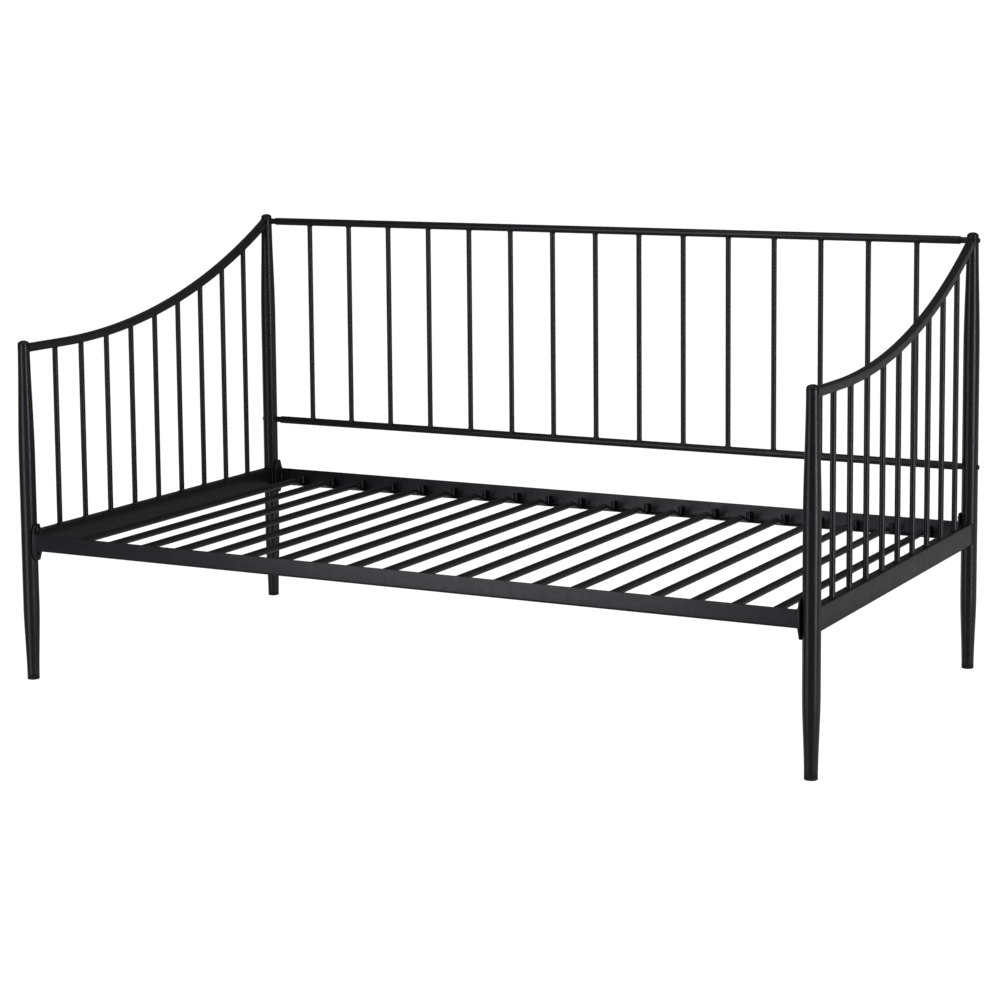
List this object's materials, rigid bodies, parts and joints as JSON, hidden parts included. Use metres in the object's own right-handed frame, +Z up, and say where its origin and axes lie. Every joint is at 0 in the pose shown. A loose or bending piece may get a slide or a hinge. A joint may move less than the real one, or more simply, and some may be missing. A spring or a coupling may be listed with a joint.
{
  "type": "metal daybed frame",
  "caption": "Black metal daybed frame with a spindle back, two swooping arms on tapered round posts, and a slatted deck on angle rails.",
  "frame": {"origin": "on the floor, under the middle of the bed (centre of the bottom of the bounding box)", "axes": "+X along the bed to the right as seen from its open front; +Y from the open front to the back panel; +Z up"},
  "size_m": [2.0012, 1.078, 1.038],
  "materials": {
    "powder_coat": "satin powder coat",
    "bolt_zinc": "black zinc, slightly glossy",
    "nylon": "matte"
  },
  "bodies": {
    "root": {"arm_rail_left": "powder_coat", "arm_rail_right": "powder_coat", "back_bolt_left_low": "bolt_zinc", "back_bolt_left_top": "bolt_zinc", "back_bolt_right_low": "bolt_zinc", "back_bolt_right_top": "bolt_zinc", "back_spindle_frame": "powder_coat", "back_top_rail": "powder_coat", "cap_front_left": "nylon", "cap_front_right": "nylon", "cap_rear_left": "nylon", "cap_rear_right": "nylon", "corner_plate_front_left": "powder_coat", "corner_plate_front_right": "powder_coat", "corner_plate_rear_left": "powder_coat", "corner_plate_rear_right": "powder_coat", "end_frame_left": "powder_coat", "end_frame_right": "powder_coat", "glide_front_left": "nylon", "glide_front_right": "nylon", "glide_rear_left": "nylon", "glide_rear_right": "nylon", "post_front_left": "powder_coat", "post_front_right": "powder_coat", "post_rear_left": "powder_coat", "post_rear_right": "powder_coat", "rail_bolt_front_left_lower": "bolt_zinc", "rail_bolt_front_left_upper": "bolt_zinc", "rail_bolt_front_right_lower": "bolt_zinc", "rail_bolt_front_right_upper": "bolt_zinc", "rail_bolt_rear_left_lower": "bolt_zinc", "rail_bolt_rear_left_upper": "bolt_zinc", "rail_bolt_rear_right_lower": "bolt_zinc", "rail_bolt_rear_right_upper": "bolt_zinc", "side_rail_front": "powder_coat", "side_rail_rear": "powder_coat", "slat_01": "powder_coat", "slat_02": "powder_coat", "slat_03": "powder_coat", "slat_04": "powder_coat", "slat_05": "powder_coat", "slat_06": "powder_coat", "slat_07": "powder_coat", "slat_08": "powder_coat", "slat_09": "powder_coat", "slat_10": "powder_coat", "slat_11": "powder_coat", "slat_12": "powder_coat", "slat_13": "powder_coat", "slat_14": "powder_coat", "slat_15": "powder_coat", "slat_16": "powder_coat", "slat_17": "powder_coat", "slat_18": "powder_coat", "slat_19": "powder_coat", "slat_20": "powder_coat"}
  },
  "joints": []
}
